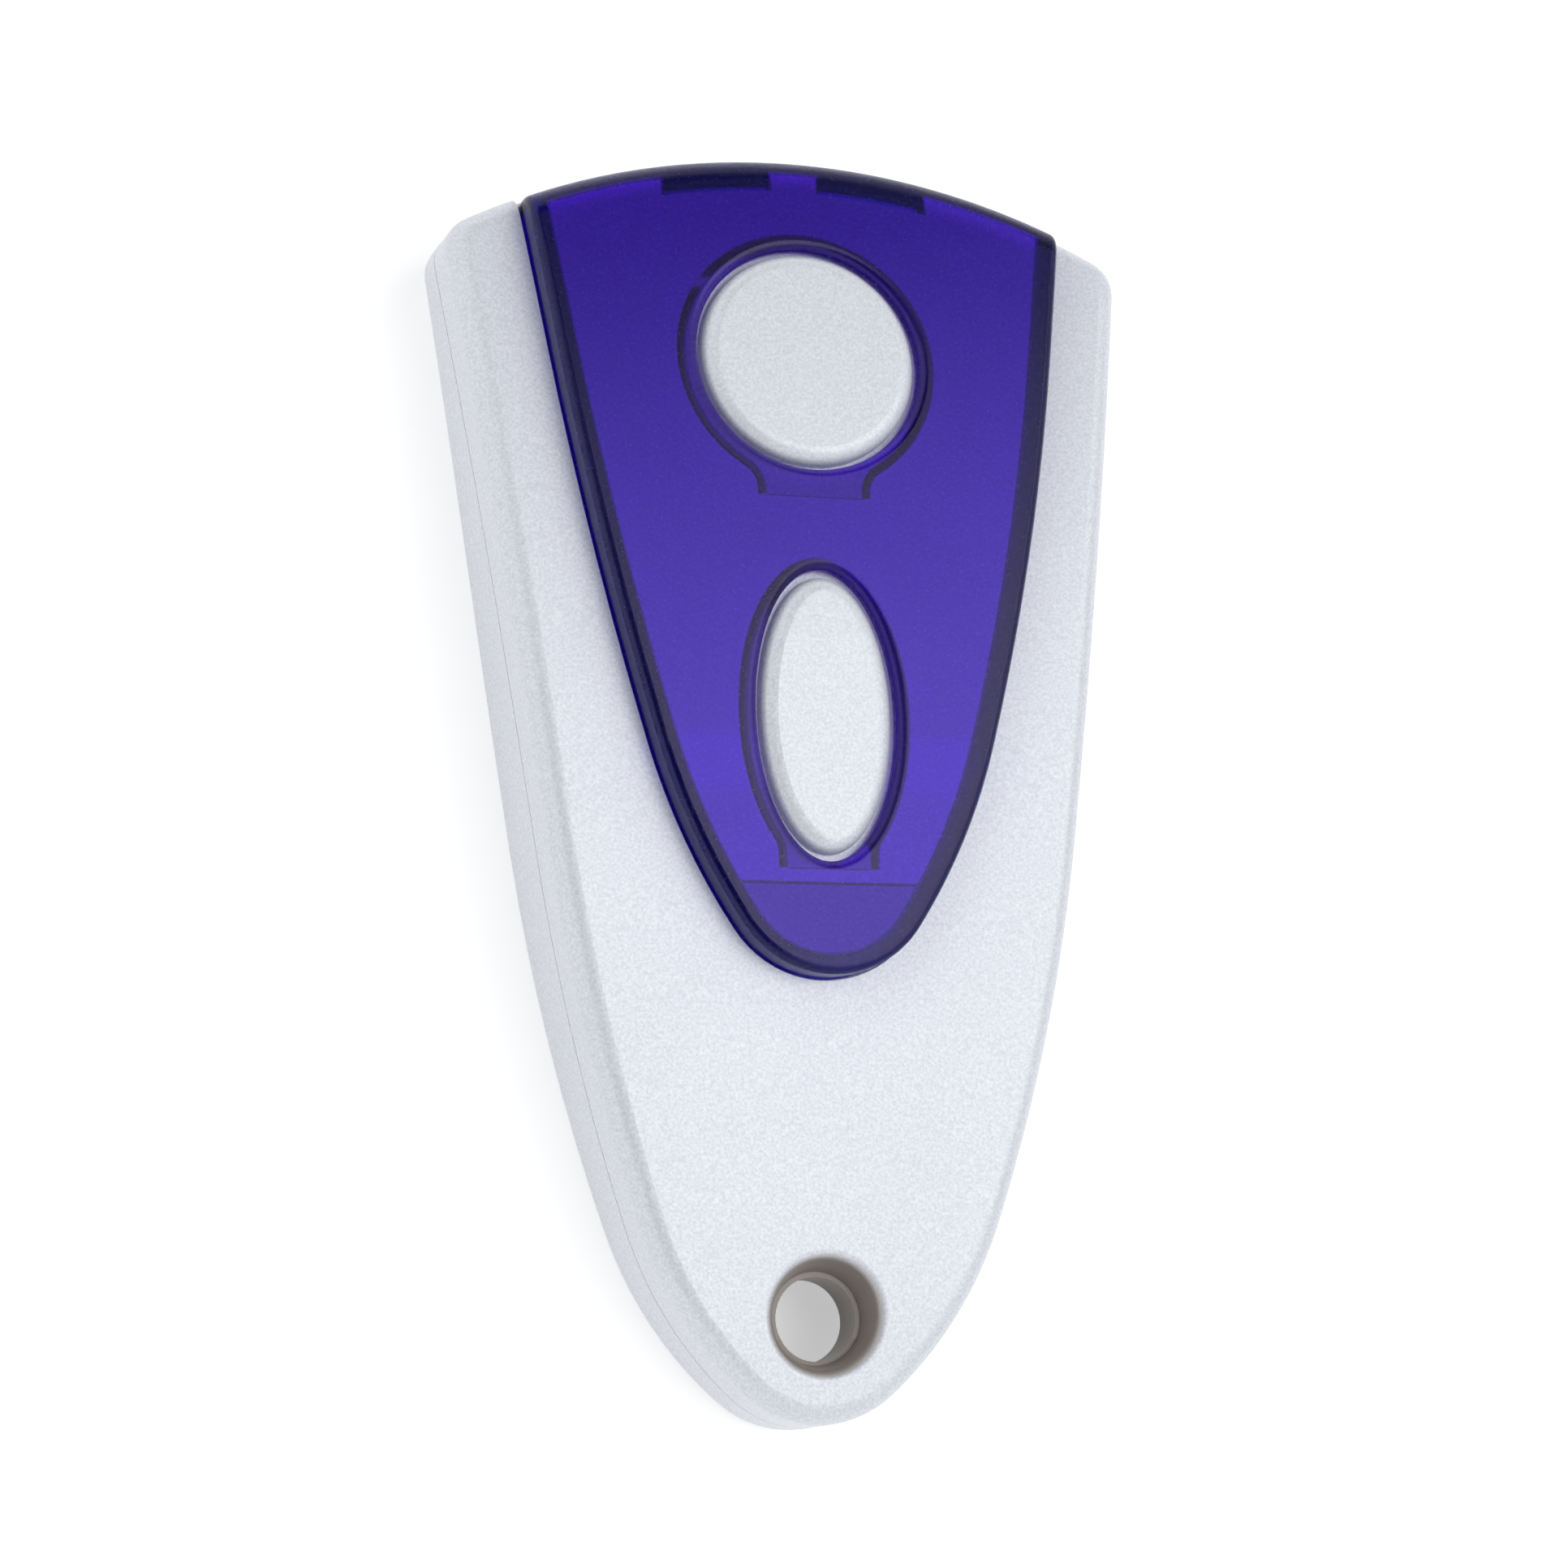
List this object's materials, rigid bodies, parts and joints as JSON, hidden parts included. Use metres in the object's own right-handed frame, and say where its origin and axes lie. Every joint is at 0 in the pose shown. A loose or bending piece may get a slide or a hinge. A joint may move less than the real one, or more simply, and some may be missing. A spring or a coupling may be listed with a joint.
{
  "type": "garage door remote",
  "caption": "Pocket remote with a tapered pearl white case, a crowned translucent cover, sprung round and oval buttons and a key ring hole.",
  "frame": {"origin": "middle of the flat back's bounding box, on the surface that it lies on", "axes": "+X to the right seen from the front, +Y from the key ring end to the wide end, +Z out of the front, the way the buttons face"},
  "size_m": [0.0398, 0.0712, 0.0113],
  "materials": {
    "pearl_white": "satin moulded plastic with a fine pearl grain",
    "violet_clear": "translucent blue-violet moulded plastic, fine satin top",
    "board_green": "solder mask on glass fibre laminate",
    "black_plastic": "moulded black plastic",
    "ivory_plastic": "moulded plastic",
    "steel": "stamped sheet steel",
    "screw_steel": "zinc plated steel",
    "nickel": "nickel plated steel",
    "copper_tin": "tinned copper",
    "ceramic": "ceramic chip body",
    "lens": "clear moulded resin"
  },
  "bodies": {
    "case": {"front_shell": "pearl_white", "rear_shell": "pearl_white", "button_plate": "pearl_white", "translucent_cover": "violet_clear", "circuit_board": "board_green", "round_switch_base": "black_plastic", "oval_switch_base": "black_plastic", "round_switch_dome": "steel", "oval_switch_dome": "steel", "round_switch_frame": "steel", "oval_switch_frame": "steel", "cell_can": "nickel", "cell_gasket": "black_plastic", "cell_cap": "nickel", "positive_contact": "copper_tin", "negative_contact": "copper_tin", "microcontroller": "black_plastic", "microcontroller_pins": "copper_tin", "resonator_base": "nickel", "resonator_can": "nickel", "led_base": "ivory_plastic", "led_lens": "lens", "chip_capacitors": "ceramic", "chip_resistors": "black_plastic", "antenna_wire": "copper_tin", "case_screws": "screw_steel"},
    "round_button": {"round_button": "pearl_white"},
    "oval_button": {"oval_button": "pearl_white"},
    "round_plunger": {"round_switch_plunger": "ivory_plastic"},
    "oval_plunger": {"oval_switch_plunger": "ivory_plastic"}
  },
  "joints": [
    {"name": "round_press", "type": "hinge", "parent": "case", "child": "round_button", "pos_m": [0, 0.0151, 0.00946], "axis": [-1, 0, 0], "range_deg": [0, 1.79], "stiffness_Nm_per_rad": 0.4},
    {"name": "oval_press", "type": "hinge", "parent": "case", "child": "oval_button", "pos_m": [0, -0.00585, 0.00986], "axis": [-1, 0, 0], "range_deg": [0, 1.68], "stiffness_Nm_per_rad": 0.4},
    {"name": "round_switch_travel", "type": "slide", "parent": "case", "child": "round_plunger", "axis": [0, 0, -1], "range_m": [0, 0.00025]},
    {"name": "oval_switch_travel", "type": "slide", "parent": "case", "child": "oval_plunger", "axis": [0, 0, -1], "range_m": [0, 0.00025]}
  ],
  "couplings": [
    {"joint": "round_press", "follows": "round_switch_travel", "rad_per_m": 124.4},
    {"joint": "oval_press", "follows": "oval_switch_travel", "rad_per_m": 116.7}
  ]
}
